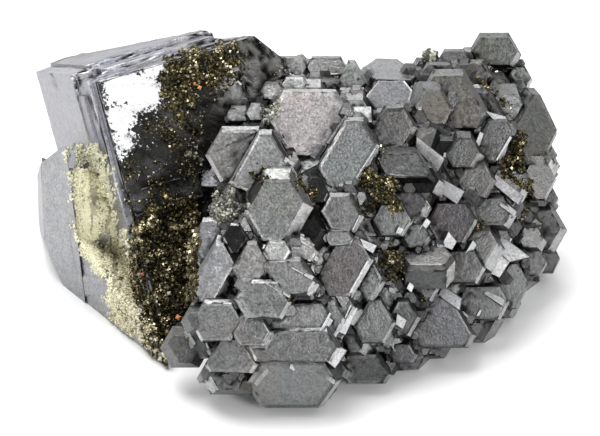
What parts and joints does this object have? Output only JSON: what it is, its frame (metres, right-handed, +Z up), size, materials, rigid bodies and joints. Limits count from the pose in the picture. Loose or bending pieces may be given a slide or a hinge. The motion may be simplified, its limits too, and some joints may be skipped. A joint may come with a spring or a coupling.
{
  "type": "galena mineral specimen",
  "caption": "Galena specimen: a cleaved cubic block grown together with a mound of flattened octahedral crystals, with chalcopyrite druses and a pale crust.",
  "frame": {"origin": "centre of the bounding box at its base, on the flat face that the specimen rests on", "axes": "+X along the longest extent, from the cleaved block to the crystals, +Y away from the display side, +Z up"},
  "size_m": [0.1092, 0.0918, 0.0531],
  "materials": {
    "galena": "lead-grey metallic lustre, finely grained",
    "chalcopyrite": "dark brassy druse of fine sparkling crystals",
    "calcite": "cream, sugary",
    "pale_crust": "pale yellow, powdery and streaky"
  },
  "bodies": {
    "root": {"galena": "galena", "chalcopyrite_druse_upper": "chalcopyrite", "chalcopyrite_druse_lower": "chalcopyrite", "druse_pocket_centre": "chalcopyrite", "druse_pocket_low": "chalcopyrite", "druse_pocket_right": "chalcopyrite", "druse_pocket_left": "calcite", "calcite_grain": "calcite", "pale_crust": "pale_crust"}
  },
  "joints": []
}
